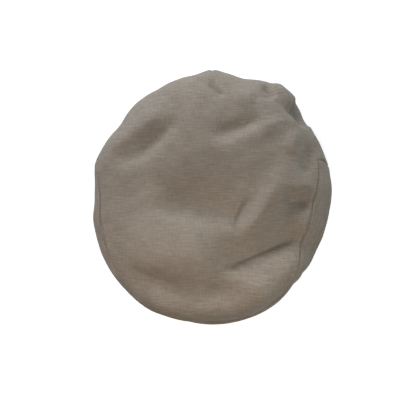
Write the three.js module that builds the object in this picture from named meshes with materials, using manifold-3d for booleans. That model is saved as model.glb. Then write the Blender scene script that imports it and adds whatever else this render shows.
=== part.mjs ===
// A linen flat cap lying on a table, with its peak towards -Y. Millimetres, +Z up.
// The origin is on the table, under the middle of the cap. Left and right are the wearer's, so left is +X.
//
// The crown is one top panel, which runs from the peak over the head to the back rim, and two narrow side
// panels. The crown's front edge is sewn to the peak just behind the peak's edge. Inside are a lining, a
// sweatband with a stay tape and a forehead pad behind it, an interlining in the front roll, and labels.
import * as THREE from "three";
import { mergeVertices } from "three/addons/utils/BufferGeometryUtils.js";
import Module from "manifold-3d";

const wasm = await Module();
wasm.setup();

// ---- Driving dimensions ----
const capWidth = 250;
const crownFrontY = -128;
const crownBackY = 135;
const headWidth = 164; // the two axes of the head opening, for a 57 cm head
const headLength = 196;
const headCentreY = 15;
const axisY = 20; // the crown is drawn round this upright axis
const axisHeight = 78;
const backwardRise = 0.1; // the top climbs this much for each millimetre towards the back
const peakLength = 49.8;
const peakCornerWidth = 2;
const peakCornerAngle = 66; // degrees from the front, as every angle here
const frontLift = 12; // how far the arched peak holds the front of the rim off the table
const bandHeight = 30;
const dartTipY = 124; // the back dart runs from the rim to here on the top
const gap = 0.3; // between pieces that touch
const looseGap = 1.2; // between cloths that hang or lie freely on each other

// ---- Cloth, board and thread ----
const linen = 1.2;
const hem = 3; // the rim, where the linen is turned in and sewn through
const coverLinen = 0.8;
const board = 1.6;
const canvas = 0.6;
const liningCloth = 0.5;
const bandCloth = 1;
const tape = 0.5;
const pad = 1.8;
const label = 0.4;
const thread = 0.6;

// ---- Angles and ellipses round the crown's axis ----
const { degToRad, radToDeg, lerp, clamp, smoothstep, euclideanModulo } = THREE.MathUtils;

const ellipse = (halfWidth, halfLength, centreY) => ({ halfWidth, halfLength, centreY });
const outline = ellipse(capWidth / 2, (crownBackY - crownFrontY) / 2, (crownBackY + crownFrontY) / 2);

// The head opening, grown by `out` all round.
const opening = (out) => ellipse(headWidth / 2 + out, headLength / 2 + out, headCentreY);

// How far an ellipse is from the crown's axis at this angle.
function reach(shape, angle) {
  const s = Math.sin(degToRad(angle)) / shape.halfWidth;
  const c = Math.cos(degToRad(angle)) / shape.halfLength;
  const q = (axisY - shape.centreY) / shape.halfLength;
  const a = s * s + c * c;
  return (q * c + Math.sqrt(q * q * c * c - a * (q * q - 1))) / a;
}

// The point at this distance from the crown's axis.
function round(angle, radius, z) {
  return new THREE.Vector3(radius * Math.sin(degToRad(angle)), axisY - radius * Math.cos(degToRad(angle)), z);
}

const fromFront = (angle) => Math.abs(euclideanModulo(angle + 180, 360) - 180);

// 1 at the front, falling smoothly to 0 at `end` degrees from it.
const frontShare = (angle, end) => Math.cos((Math.min(fromFront(angle) / end, 1) * Math.PI) / 2) ** 2;

// One value for the front, one for the sides and one for the back, with a smooth change between them.
function byDirection(front, side, back) {
  return (angle) => {
    const c = Math.cos(degToRad(angle));
    return side + ((c > 0 ? front : back) - side) * c * c;
  };
}

// How high the lower edge of the rim and the sweatband is held.
const frontRise = (angle) => frontLift * frontShare(angle, peakCornerAngle);

// ---- Sheets of cloth and board ----
const steps = (from, to, count) => Array.from({ length: count + 1 }, (_, i) => lerp(from, to, i / count));

// The outward normal of a surface whose u runs anticlockwise and whose v runs outwards and down.
function normalOf(surface, u, v, vLow, vHigh) {
  const du = 0.02;
  const dv = (vHigh - vLow) * 1e-4;
  const inside = clamp(v, vLow + dv, vHigh - dv);
  const alongU = surface(u + du, inside).sub(surface(u - du, inside));
  const alongV = surface(u, inside + dv).sub(surface(u, inside - dv));
  return alongV.cross(alongU).normalize();
}

// A closed body from vertices and triangles, with shared vertices merged and empty triangles dropped.
function closedGeometry(positions, triangles) {
  let geometry = new THREE.BufferGeometry();
  geometry.setAttribute("position", new THREE.Float32BufferAttribute(positions, 3));
  geometry.setIndex(triangles.flat());
  geometry = mergeVertices(geometry, 1e-3);
  const corners = [...geometry.index.array];
  const kept = [];
  for (let i = 0; i < corners.length; i += 3) {
    const [a, b, c] = corners.slice(i, i + 3);
    if (a !== b && b !== c && c !== a) kept.push(a, b, c);
  }
  geometry.setIndex(kept);
  geometry.computeVertexNormals();
  return geometry;
}

// surface(u, v) is a skin; the sheet's outer face is `lift` above it, and the sheet goes `thickness` inwards.
// rows(u) gives the same number of v values at every u. With `ring`, u goes all the way round.
// The edge at levelV is cut level, and a surface that starts at a pole gives the pole's normal.
function sheet({
  surface,
  columns,
  rows,
  lift = () => 0,
  thickness,
  ring = false,
  levelV = null,
  pole = null,
}) {
  const positions = [];
  const rowCount = rows(columns[0]).length;
  for (const layer of [0, 1]) {
    for (const u of columns) {
      const vs = rows(u);
      vs.forEach((v, j) => {
        const normal = pole && j === 0 ? pole.clone() : normalOf(surface, u, v, vs[0], vs[rowCount - 1]);
        if (v === levelV) normal.setZ(0).normalize();
        positions.push(...surface(u, v).addScaledVector(normal, lift(u, v) - layer * thickness(u, v)));
      });
    }
  }
  const outer = (i, j) => (i % columns.length) * rowCount + j;
  const inner = (i, j) => outer(i, j) + columns.length * rowCount;
  const triangles = [];
  const quad = (a, b, c, d) => triangles.push([a, b, c], [a, c, d]);
  const lastRow = rowCount - 1;
  const lastColumn = columns.length - 1;
  for (let i = 0; i < lastColumn + (ring ? 1 : 0); i++) {
    for (let j = 0; j < lastRow; j++) {
      quad(outer(i, j), outer(i, j + 1), outer(i + 1, j + 1), outer(i + 1, j));
      quad(inner(i, j), inner(i + 1, j), inner(i + 1, j + 1), inner(i, j + 1));
    }
    quad(outer(i, 0), outer(i + 1, 0), inner(i + 1, 0), inner(i, 0));
    quad(inner(i, lastRow), inner(i + 1, lastRow), outer(i + 1, lastRow), outer(i, lastRow));
  }
  for (let j = 0; j < lastRow && !ring; j++) {
    quad(outer(0, j + 1), outer(0, j), inner(0, j), inner(0, j + 1));
    quad(inner(lastColumn, j + 1), inner(lastColumn, j), outer(lastColumn, j), outer(lastColumn, j + 1));
  }
  return closedGeometry(positions, triangles);
}

const always = (value) => () => value;

// ---- Cutting ----
function solidOf(geometry) {
  const bare = geometry.clone();
  for (const name of ["normal", "uv"]) bare.deleteAttribute(name);
  const merged = mergeVertices(bare, 1e-4);
  const vertProperties = merged.attributes.position.array;
  const triVerts = new Uint32Array(merged.index.array);
  return new wasm.Manifold(new wasm.Mesh({ numProp: 3, vertProperties, triVerts }));
}

function subtract(geometry, cutter) {
  const cut = solidOf(geometry).subtract(solidOf(cutter)).getMesh();
  return closedGeometry([...cut.vertProperties], [[...cut.triVerts]]);
}

// ---- The peak ----
// From the head to the inside of the hem, and to the peak's rear edge.
const behindBand = bandCloth + 2 * gap + tape;
const peakDepth = board + 2 * coverLinen + 2 * gap;
const peakEdgeRise = 8; // of the middle of the front edge, above where the peak touches the table
const peakTouchAngle = 48;
const peakDome = 3;
const boardEnd = 0.93; // the covers meet past the board's edge

function peakWidth(angle) {
  const share = Math.cos((Math.min(fromFront(angle) / peakCornerAngle, 1) * Math.PI) / 2);
  return peakCornerWidth + (peakLength - peakCornerWidth) * share ** 0.33;
}

// The middle of the board: v is 0 at the head and 1 at the front edge. It arches over the forehead.
function peakMiddle(angle, v) {
  const radius = reach(opening(behindBand), angle) + v * peakWidth(angle);
  const edgeRise = peakEdgeRise * frontShare(angle, peakTouchAngle);
  const dome = peakDome * frontShare(angle, peakCornerAngle) * Math.sin(Math.PI * v);
  return round(angle, radius, peakDepth / 2 + lerp(frontRise(angle), edgeRise, v) + dome);
}

// Height of the peak's upper face at this distance from the axis.
function peakTop(angle, radius) {
  const v = (radius - reach(opening(behindBand), angle)) / peakWidth(angle);
  return peakMiddle(angle, clamp(v, 0, boardEnd)).z + peakDepth / 2;
}

// Closer together towards the corners, where the peak narrows quickly.
const peakAngles = steps(-90, 90, 28).map((a) => peakCornerAngle * Math.sin(degToRad(a)));
const towardsEdge = (v) => smoothstep(v, boardEnd, 1);

const peakBoard = () =>
  sheet({
    surface: peakMiddle,
    columns: peakAngles,
    rows: always([0, 0.3, 0.6, 0.8, boardEnd - 0.02]),
    lift: always(board / 2),
    thickness: always(board),
  });

// The covers lie on both faces of the board and close in on each other past its edge.
const peakCover = (lift) =>
  sheet({
    surface: peakMiddle,
    columns: peakAngles,
    rows: always([0, 0.3, 0.6, 0.8, boardEnd, 0.975, 1]),
    lift,
    thickness: always(coverLinen),
  });

const peakUpperCover = () =>
  peakCover((u, v) => coverLinen + lerp(board / 2 + gap, gap / 2, towardsEdge(v)));
const peakUnderCover = () => peakCover((u, v) => -lerp(board / 2 + gap, gap / 2, towardsEdge(v)));

// ---- Domes: the crown and the lining ----
function bezier(p0, p1, p2, p3, t) {
  const s = 1 - t;
  return s * s * s * p0 + 3 * s * s * t * p1 + 3 * s * t * t * p2 + t * t * t * p3;
}

// v runs from the axis (0) over the top to the widest line (1), and then in and down to the rim (2).
function dome({ height, widest, widestHeight, rim, rimHeight, fullness, shoulder }) {
  return (angle, v) => {
    const r = widest(angle);
    const z = widestHeight(angle);
    if (v <= 1) {
      const handle = fullness * r;
      const tilted = height - backwardRise * handle * Math.cos(degToRad(angle));
      const side = lerp(z, height, shoulder);
      return round(angle, bezier(0, handle, r, r, v), bezier(height, tilted, side, z, v));
    }
    const low = rimHeight(angle);
    const in_ = rim(angle);
    const t = v - 1;
    return round(angle, bezier(r, r, in_, in_, t), bezier(z, lerp(z, low, 0.6), lerp(low, z, 0.4), low, t));
  };
}

const poleNormal = new THREE.Vector3(0, -backwardRise, 1).normalize();

// The point of a dome's top that is over x, y.
function above(surface, x, y) {
  const angle = radToDeg(Math.atan2(x, axisY - y));
  const radius = Math.hypot(x, axisY - y);
  let [low, high] = [0, 1];
  for (let i = 0; i < 30; i++) {
    const middle = (low + high) / 2;
    const p = surface(angle, middle);
    if (Math.hypot(p.x, p.y - axisY) < radius) low = middle;
    else high = middle;
  }
  return surface(angle, low);
}

// ---- The crown ----
const lipShare = 0.74; // of the peak's width that the crown covers
const rimStep = { start: 4, length: 8 }; // degrees past the peak's corner over which the rim comes down

const crownRim = (angle) =>
  reach(opening(behindBand + hem), angle) + lipShare * (peakWidth(angle) - peakCornerWidth);

function crownRimHeight(angle) {
  const past = fromFront(angle) - peakCornerAngle;
  const stepDown = 1 - smoothstep(past, rimStep.start, rimStep.start + rimStep.length);
  if (past >= 0) return (peakDepth + gap) * stepDown;
  const outside = crownRim(angle);
  return Math.max(peakTop(angle, outside - hem), peakTop(angle, outside)) + gap;
}

const crown = dome({
  height: axisHeight,
  widest: (angle) => reach(outline, angle),
  widestHeight: byDirection(21, 30, 37),
  rim: crownRim,
  rimHeight: crownRimHeight,
  fullness: 0.62,
  shoulder: 0.62,
});

const crownThickness = (u, v) => lerp(linen, hem, smoothstep(v, 1.7, 1.9));

// The seam between the top panel and a side panel, as angle and v. It leaves the peak's seam near the front,
// runs over the roll and along the side, and ends behind the ear, where the side panel is cut off square.
const sideSeam = new THREE.SplineCurve(
  [
    [7, 1.94],
    [10, 1.6],
    [13, 1.25],
    [16.5, 1],
    [22, 0.905],
    [31, 0.825],
    [46, 0.73],
    [63, 0.665],
    [82, 0.69],
    [100, 0.79],
  ].map(([angle, v]) => new THREE.Vector2(angle, v)),
).getPoints(20);
const seamStart = sideSeam[0].x;
const seamEnd = sideSeam[sideSeam.length - 1].x;
const seamGapAngle = 0.5;
const seamGapV = 0.006;

// v of the seam at an angle.
function seamAt(angle) {
  const k = Math.max(1, sideSeam.findIndex((p) => p.x >= angle));
  const [a, b] = [sideSeam[k - 1], sideSeam[k]];
  return lerp(a.y, b.y, clamp((angle - a.x) / (b.x - a.x), 0, 1));
}

function crownTopPanel() {
  const half = [
    ...steps(0, seamStart - 3.5, 1),
    seamStart - seamGapAngle,
    ...sideSeam.slice(1).map((p) => p.x),
    seamEnd + seamGapAngle,
    ...steps(seamEnd + 8, 180, 8),
  ];
  const edge = (angle) => {
    const away = fromFront(angle);
    return away > seamStart && away < seamEnd + 1e-3 ? seamAt(away) - seamGapV : 2;
  };
  const panel = sheet({
    surface: crown,
    columns: [...half, ...half.slice(1, -1).map((a) => 360 - a).reverse()],
    rows: (u) => {
      const end = edge(u);
      const shoulderV = 0.94 * Math.min(end, 1);
      const top = [0, 0.12, 0.25, 0.38, 0.52, 0.66, 0.8, 0.9, 1].map((s) => s * shoulderV);
      const side = end === 2 ? steps(1, 2, 5) : steps(shoulderV, end, 6).slice(1);
      return [...top, ...side];
    },
    thickness: crownThickness,
    ring: true,
    levelV: 2,
    pole: poleNormal,
  });
  const pastBack = crownBackY + 10;
  const slit = new THREE.BoxGeometry(2 * gap, pastBack - dartTipY, 2 * axisHeight);
  slit.translate(0, (pastBack + dartTipY) / 2, axisHeight / 2);
  return subtract(panel, slit);
}

function sidePanel(side) {
  const middle = (seamStart + seamEnd) / 2;
  const shrink = 1 - (2 * seamGapAngle) / (seamEnd - seamStart);
  const angles = sideSeam.map((p) => middle + (p.x - middle) * shrink);
  return sheet({
    surface: crown,
    columns: side > 0 ? angles : angles.map((a) => -a).reverse(),
    rows: (u) => {
      const point = sideSeam[angles.indexOf(Math.abs(u))];
      return [...steps(point.y + seamGapV, 2, 10).slice(0, -1), 2];
    },
    thickness: crownThickness,
    levelV: 2,
  });
}

// A crescent of canvas under the front roll.
const frontInterlining = () =>
  sheet({
    surface: crown,
    columns: steps(-44, 44, 22),
    rows: always(steps(0.76, 1.5, 7)),
    lift: always(-linen - looseGap),
    thickness: always(canvas),
  });

// ---- The lining ----
const behindPad = bandCloth + 2 * gap + pad;
const lining = dome({
  height: axisHeight - 5,
  widest: (angle) => reach(ellipse(headWidth / 2 + 16, headLength / 2 + 7, headCentreY), angle),
  widestHeight: byDirection(37, 37, 43),
  rim: (angle) => reach(opening(behindPad + gap + liningCloth), angle),
  rimHeight: (angle) => frontRise(angle) + 11,
  fullness: 0.6,
  shoulder: 0.62,
});
const liningSeamV = 0.74;

const liningTop = () =>
  sheet({
    surface: lining,
    columns: steps(0, 360, 36).slice(0, -1),
    rows: always(steps(0, liningSeamV, 5)),
    thickness: always(liningCloth),
    ring: true,
    pole: poleNormal,
  });

const liningSide = (side) =>
  sheet({
    surface: lining,
    columns: steps(side > 0 ? 0.2 : 180.2, side > 0 ? 179.8 : 359.8, 18),
    rows: always([...steps(liningSeamV + 0.006, 1, 2), ...steps(1, 2, 5).slice(1)]),
    thickness: always(liningCloth),
  });

// ---- The band inside the rim ----
// A strip that stands upright `out` outside the head, from `low` to `high` above the rim's lower edge.
const strip = (out, low, high, thickness, from, to, count) =>
  sheet({
    surface: (angle, v) => round(angle, reach(opening(out), angle), frontRise(angle) + lerp(high, low, v)),
    columns: steps(from, to, count),
    rows: always([0, 1]),
    thickness: always(thickness),
  });

const backSeam = { from: 180.2, to: 539.8 }; // all round, with the ends meeting at the back
const sweatband = () => strip(bandCloth, 0.6, bandHeight, bandCloth, backSeam.from, backSeam.to, 48);
const stayTape = () => strip(bandCloth + gap + tape, 2, 13, tape, backSeam.from, backSeam.to, 48);
const foreheadPad = () => strip(bandCloth + gap + pad, 14.5, 28, pad, -50, 50, 16);
const sizeLabel = () => strip(-gap, 12, 22, label, 196, 203, 2);

// ---- Labels on the lining ----
const labelLift = always(-liningCloth - looseGap);

function makerLabel() {
  const [halfWidth, depth, rearY] = [24, 30, 40];
  return sheet({
    surface: (x, v) => above(lining, x, rearY - v),
    columns: steps(-halfWidth, halfWidth, 6),
    rows: always(steps(0, depth, 4)),
    lift: labelLift,
    thickness: always(label),
  });
}

const careLabel = () =>
  sheet({
    surface: lining,
    columns: steps(-99, -85, 3),
    rows: always(steps(0.98, 1.5, 3)),
    lift: labelLift,
    thickness: always(label),
  });

// ---- Sewing threads ----
function threadAlong(points) {
  const sides = 4;
  const corners = steps(0, 2 * Math.PI, sides).slice(0, -1);
  const section = new THREE.Shape(
    corners.map((a) => new THREE.Vector2((thread / 2) * Math.cos(a), (thread / 2) * Math.sin(a))),
  );
  const extrudePath = new THREE.CatmullRomCurve3(points);
  return new THREE.ExtrudeGeometry(section, { steps: points.length - 1, extrudePath });
}

// A point `depth` inside the crown's outer face.
const inside = (angle, v, depth) => crown(angle, v).addScaledVector(normalOf(crown, angle, v, 0, 2), -depth);

const behindCanvas = linen + looseGap + canvas + 2 * gap;
const sideSeamThread = (side) =>
  threadAlong(
    sideSeam.filter((p) => p.y < 1.3).map((p) => inside(side * p.x, p.y, behindCanvas + thread / 2)),
  );
const backDartThread = () =>
  threadAlong(steps(0.8, 1.5, 8).map((v) => inside(180, v, linen + gap + thread / 2)));
const sweatbandThread = () =>
  threadAlong(
    steps(181.5, 538.5, 60).map((a) => round(a, reach(opening(-gap - thread / 2), a), frontRise(a) + 5)),
  );
const peakEdgeThread = () =>
  threadAlong(
    steps(-44, 44, 28).map((a) => {
      const radius = reach(opening(behindBand), a) + peakWidth(a) - 2.6;
      return round(a, radius, peakTop(a, radius) + gap + thread / 2);
    }),
  );

// ---- Materials ----
const cloth = (color, roughness = 0.9) => new THREE.MeshStandardMaterial({ color, roughness, metalness: 0 });
const outerLinen = cloth(0x8b8071);
const linings = cloth(0x5f5447, 0.6);
const bandCotton = cloth(0x6f6558);
const boardPlastic = cloth(0x2c2c2c, 0.5);
const canvasWhite = cloth(0xd8d2c4);
const padFoam = cloth(0x3a3a3a);
const labelSatin = cloth(0xe6dfd0, 0.5);
const sewingThread = cloth(0x786e60, 0.7);

const cap = new THREE.Group();
function add(name, geometry, material) {
  const mesh = new THREE.Mesh(geometry, material);
  mesh.name = name;
  cap.add(mesh);
}

add("crown_top_panel", crownTopPanel(), outerLinen);
add("side_panel_left", sidePanel(1), outerLinen);
add("side_panel_right", sidePanel(-1), outerLinen);
add("peak_upper_cover", peakUpperCover(), outerLinen);
add("peak_under_cover", peakUnderCover(), outerLinen);
add("peak_board", peakBoard(), boardPlastic);
add("front_interlining", frontInterlining(), canvasWhite);
add("lining_top", liningTop(), linings);
add("lining_side_left", liningSide(1), linings);
add("lining_side_right", liningSide(-1), linings);
add("sweatband", sweatband(), bandCotton);
add("stay_tape", stayTape(), canvasWhite);
add("forehead_pad", foreheadPad(), padFoam);
add("maker_label", makerLabel(), labelSatin);
add("care_label", careLabel(), labelSatin);
add("size_label", sizeLabel(), labelSatin);
add("side_seam_thread_left", sideSeamThread(1), sewingThread);
add("side_seam_thread_right", sideSeamThread(-1), sewingThread);
add("back_dart_thread", backDartThread(), sewingThread);
add("sweatband_thread", sweatbandThread(), sewingThread);
add("peak_edge_thread", peakEdgeThread(), sewingThread);

export default cap;
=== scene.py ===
# %% [markdown]
# # A linen flat cap
# A flat cap is a low, soft crown of cloth that is sewn down onto a short stiff peak. This file dresses the
# plain solids of the frame in cloth: the crown's panels with their folds, the peak's covers, the lining,
# the band and the stitches. Every size is in metres, +Z is up and the peak points towards -Y.

import bmesh
import bpy
import numpy as np
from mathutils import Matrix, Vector


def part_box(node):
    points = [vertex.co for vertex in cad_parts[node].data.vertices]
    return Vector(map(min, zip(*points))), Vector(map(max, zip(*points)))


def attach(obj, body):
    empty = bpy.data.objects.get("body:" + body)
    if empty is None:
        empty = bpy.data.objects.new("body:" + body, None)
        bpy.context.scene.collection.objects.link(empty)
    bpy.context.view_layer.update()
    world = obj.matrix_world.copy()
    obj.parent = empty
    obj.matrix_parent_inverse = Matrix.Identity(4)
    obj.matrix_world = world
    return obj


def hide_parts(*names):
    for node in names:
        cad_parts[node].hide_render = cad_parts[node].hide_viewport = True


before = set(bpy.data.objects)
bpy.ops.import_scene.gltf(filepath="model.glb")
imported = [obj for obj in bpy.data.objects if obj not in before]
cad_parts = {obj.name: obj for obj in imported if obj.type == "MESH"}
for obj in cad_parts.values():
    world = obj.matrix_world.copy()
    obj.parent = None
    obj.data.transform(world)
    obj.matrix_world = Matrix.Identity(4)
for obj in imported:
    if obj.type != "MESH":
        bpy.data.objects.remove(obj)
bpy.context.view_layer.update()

mm = 0.001

# %% [markdown]
# ## Sizes
# The frame says where everything is. The head opening is what the sweatband goes round, the crown's
# outline comes from its panels, and the peak starts behind the band. Angles are in degrees round an upright
# axis through the crown, from the front (0) over the wearer's left side (90) to the back (180).

# %% Sizes from the frame
band_low, band_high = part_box("sweatband")
top_low, top_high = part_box("crown_top_panel")
left_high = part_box("side_panel_left")[1]
right_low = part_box("side_panel_right")[0]
peak_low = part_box("peak_upper_cover")[0]

linen = 1.2 * mm
hem = 3 * mm
band_cloth = 1 * mm
gap = 0.3 * mm

head_width = (band_high.x - band_low.x) / 2 - band_cloth
head_length = (band_high.y - band_low.y) / 2 - band_cloth
head_y = (band_high.y + band_low.y) / 2
axis_y = head_y + 5 * mm
axis_height = top_high.z - 1.3 * mm
crown_width = (left_high.x - right_low.x) / 2
crown_length = (top_high.y - top_low.y) / 2
crown_y = (top_high.y + top_low.y) / 2
behind_band = 2.1 * mm
peak_length = -peak_low.y - (head_length + behind_band - head_y)
print(f"head opening {2 * head_width:.3f} by {2 * head_length:.3f} m, peak {peak_length:.3f} m long")

# %% [markdown]
# ## Round the head
# Most of a cap is drawn round the head, so a few functions answer in angles: how far an ellipse is from
# the axis, how much of something is at the front, and how a value changes from front to side to back.
# They take whole arrays of angles, because a panel of cloth has tens of thousands of points.

# %% Angles and ellipses
def smooth(x, low, high):
    """0 below low, 1 above high, and a smooth step between them."""
    t = np.clip((x - low) / (high - low), 0, 1)
    return t * t * (3 - 2 * t)


def reach(angle, half_width, half_length, centre_y):
    """How far an ellipse is from the crown's axis at each angle."""
    s = np.sin(np.radians(angle)) / half_width
    c = np.cos(np.radians(angle)) / half_length
    q = (axis_y - centre_y) / half_length
    a = s * s + c * c
    return (q * c + np.sqrt(q * q * c * c - a * (q * q - 1))) / a


def opening(angle, out):
    """How far the head opening, grown by out, is from the axis."""
    return reach(angle, head_width + out, head_length + out, head_y)


def around(angle, radius, z):
    """The points at these angles, distances from the axis and heights."""
    a = np.radians(angle)
    parts = np.broadcast_arrays(radius * np.sin(a), axis_y - radius * np.cos(a), z)
    return np.stack(parts, axis=-1)


def from_front(angle):
    return np.abs((np.asarray(angle) + 180) % 360 - 180)


def front_share(angle, end):
    """1 at the front, falling smoothly to 0 at end degrees from it."""
    return np.cos(np.minimum(from_front(angle) / end, 1) * np.pi / 2) ** 2


def by_direction(angle, front, side, back):
    c = np.cos(np.radians(angle))
    return side + (np.where(c > 0, front, back) - side) * c * c


def bezier(p0, p1, p2, p3, t):
    s = 1 - t
    return s * s * s * p0 + 3 * s * s * t * p1 + 3 * s * t * t * p2 + t * t * t * p3


def through(points, count):
    """Points spaced along a smooth curve (Catmull-Rom) that passes through the given ones."""
    p = np.array(points, float)
    p = np.vstack([2 * p[0] - p[1], p, 2 * p[-1] - p[-2]])
    t = np.linspace(0, len(points) - 1 - 1e-9, count)
    i = t.astype(int)
    f = (t - i)[:, None]
    a, b, c, d = p[i], p[i + 1], p[i + 2], p[i + 3]
    return 0.5 * (2 * b + (c - a) * f + (2 * a - 5 * b + 4 * c - d) * f**2 + (3 * b - a - 3 * c + d) * f**3)


# %% [markdown]
# ## A sheet of cloth
# Cloth is thin, but it isn't a bare surface: its edges are turned in and look round. So each sheet is a
# closed mesh made of two grids, the outer face and the inner face, which are joined along every free edge by
# a small round lip. The grids come from a skin: a function that gives a point for each pair (u, v).

# %% Meshes from grids
LIP = np.radians([36, 72, 108, 144])
table_gap = 0.05 * mm  # nothing comes closer to the table than this


def lip_rows(face, other, away):
    """Rows that lead round the edge from one face to the other, with both ends."""
    middle, half = (face + other) / 2, (face - other) / 2
    depth = np.linalg.norm(half, axis=-1, keepdims=True)
    return [face, *(middle + np.cos(a) * half + np.sin(a) * depth * away for a in LIP), other]


def unit(v):
    return v / np.maximum(np.linalg.norm(v, axis=-1, keepdims=True), 1e-12)


class Body:
    """Collects grids of points, with a UV for each, and makes one mesh of them."""

    def __init__(self):
        self.points, self.uvs, self.faces, self.count = [], [], [], 0

    def grid(self, points, uv, ring=False):
        columns, rows = points.shape[:2]
        index = self.count + np.arange(columns * rows).reshape(columns, rows)
        if ring:
            index = np.vstack([index, index[:1]])
        a, b, c, d = index[:-1, :-1], index[:-1, 1:], index[1:, 1:], index[1:, :-1]
        self.faces.append(np.stack([a, b, c, d], -1).reshape(-1, 4))
        self.points.append(points.reshape(-1, 3))
        self.uvs.append(np.broadcast_to(uv, (columns, rows, 2)).reshape(-1, 2))
        self.count += columns * rows

    def sheet(self, outer, inner, uv, ring=False, edges="all"):
        """An outer and an inner face, joined round the edges named: start and end in v, sides in u."""
        self.grid(outer, uv, ring)
        self.grid(inner[:, ::-1], uv[:, ::-1], ring)
        if edges in ("all", "end", "end and sides"):
            rows = lip_rows(outer[:, -1], inner[:, -1], unit(outer[:, -1] - outer[:, -2]))
            self.grid(np.stack(rows, 1), uv[:, -1:], ring)
        if edges in ("all", "start"):
            rows = lip_rows(inner[:, 0], outer[:, 0], unit(outer[:, 0] - outer[:, 1]))
            self.grid(np.stack(rows, 1), uv[:, :1], ring)
        if not ring and edges in ("all", "end and sides"):
            self.grid(np.stack(lip_rows(outer[-1], inner[-1], unit(outer[-1] - outer[-2]))), uv[-1:])
            self.grid(np.stack(lip_rows(inner[0], outer[0], unit(outer[0] - outer[1]))), uv[:1])

    def make(self, name, material, slot, *nodes):
        """One mesh object with its doubled vertices merged, in place of the CAD nodes."""
        mesh = bpy.data.meshes.new(name)
        points = np.vstack(self.points)
        points[:, 2] = np.maximum(points[:, 2], table_gap)
        mesh.from_pydata(points.tolist(), [], np.vstack(self.faces).tolist())
        layer = mesh.uv_layers.new(name="cut")
        corner = np.empty(len(mesh.loops), np.int32)
        mesh.loops.foreach_get("vertex_index", corner)
        layer.data.foreach_set("uv", np.vstack(self.uvs)[corner].astype(np.float32).ravel())
        merge_and_smooth(mesh)
        mesh.materials.append(material)
        piece = bpy.data.objects.new(name, mesh)
        bpy.context.scene.collection.objects.link(piece)
        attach(piece, "root")
        if nodes:
            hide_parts(*nodes)
        print(name, len(mesh.polygons), "faces")
        return piece


def merge_and_smooth(mesh):
    b = bmesh.new()
    b.from_mesh(mesh)
    bmesh.ops.remove_doubles(b, verts=b.verts, dist=0.002 * mm)
    bmesh.ops.dissolve_degenerate(b, edges=b.edges, dist=0.001 * mm)
    bmesh.ops.recalc_face_normals(b, faces=b.faces)
    b.to_mesh(mesh)
    b.free()
    mesh.shade_smooth()


def face_normals(points, ring=False):
    """The outward normal at each point of a grid of (u, v), from its neighbours."""
    if ring:
        closed = np.concatenate([points[-1:], points, points[:1]])
        along_u = closed[2:] - closed[:-2]
    else:
        along_u = np.gradient(points, axis=0)
    return unit(np.cross(np.gradient(points, axis=1), along_u))


# %% [markdown]
# ## Camera, light and floor
# The cap is looked at from straight above, as a garment is when it is laid out flat. A long lens keeps the
# outline true. Cloth shows its folds best in light that comes in low, so two large cool soft boxes stand low
# behind the cap, at its left and at its middle. A weaker one fills in from the right and a weak one from the
# front, and two small warm ones hang close over the front roll. The world adds hardly any light.

# %% Camera, light and floor
view_side = 0.439
camera_height = 1.5
outline_height = 0.03  # where the crown's outline is, which is what the camera frames
sensor = 36  # millimetres, as is the focal length
world_strength = 0.02

camera_data = bpy.data.cameras.new("camera")
camera_data.sensor_width = sensor
camera_data.lens = sensor * (camera_height - outline_height) / view_side
camera = bpy.data.objects.new("camera", camera_data)
camera.location = (-0.0048, -0.0105, camera_height)
bpy.context.scene.collection.objects.link(camera)
bpy.context.scene.camera = camera


def colour(hex_code):
    """An sRGB colour as linear red, green, blue and alpha."""
    srgb = [int(hex_code[i : i + 2], 16) / 255 for i in (0, 2, 4)]
    return [c / 12.92 if c <= 0.04045 else ((c + 0.055) / 1.055) ** 2.4 for c in srgb] + [1]


def soft_box(name, place, size, power, hex_code):
    """A rectangular light at place that faces the cap."""
    data = bpy.data.lights.new(name, "AREA")
    data.shape = "RECTANGLE"
    data.size, data.size_y = size
    data.energy = power
    data.color = colour(hex_code)[:3]
    light = bpy.data.objects.new(name, data)
    light.location = place
    light.rotation_euler = (-Vector(place)).to_track_quat("-Z", "Y").to_euler()
    light.visible_camera = False
    bpy.context.scene.collection.objects.link(light)


soft_box("left_box", (-1.05, 0.85, 0.6), (0.8, 0.4), 13, "F3F6FF")
soft_box("back_box", (0.2, 1.4, 0.36), (0.9, 0.3), 11, "FBFCFF")
soft_box("right_fill", (1.3, 0.2, 0.5), (0.8, 0.4), 5.5, "EFF8FF")
soft_box("front_box", (0.04, -0.2, 0.34), (0.26, 0.12), 0.4, "FFF4E8")
soft_box("front_left_box", (-0.18, -0.2, 0.34), (0.25, 0.2), 0.2, "FFDFCE")
soft_box("front_fill", (0.0, -1.1, 1.1), (1.4, 0.4), 1.2, "FFFFFF")

world = bpy.data.worlds.new("studio")
bpy.context.scene.world = world
world.use_nodes = True
world.node_tree.nodes["Background"].inputs["Color"].default_value = colour("FFFFFF")
world.node_tree.nodes["Background"].inputs["Strength"].default_value = world_strength
bpy.context.scene.view_settings.view_transform = "Standard"
print(f"camera with a {camera_data.lens:.0f} mm lens, {camera_height} m over the table")


# %% A node helper
def add(tree, kind, inputs=None, **settings):
    """Adds a node: settings are its own options, and inputs are values, or sockets to link."""
    node = tree.nodes.new(kind)
    for name, value in settings.items():
        setattr(node, name, value)
    for name, value in (inputs or {}).items():
        if isinstance(value, bpy.types.NodeSocket):
            tree.links.new(value, node.inputs[name])
        else:
            node.inputs[name].default_value = value
    return node


def new_material(name):
    """A material with a Principled shader, and its node tree and shader."""
    material = bpy.data.materials.new(name)
    material.use_nodes = True
    return material, material.node_tree, material.node_tree.nodes["Principled BSDF"]


# %% Floor
floor_glow = 0.7  # the sweep is lit from its own side, so it stays white beside the cap
floor_half = 3

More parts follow.
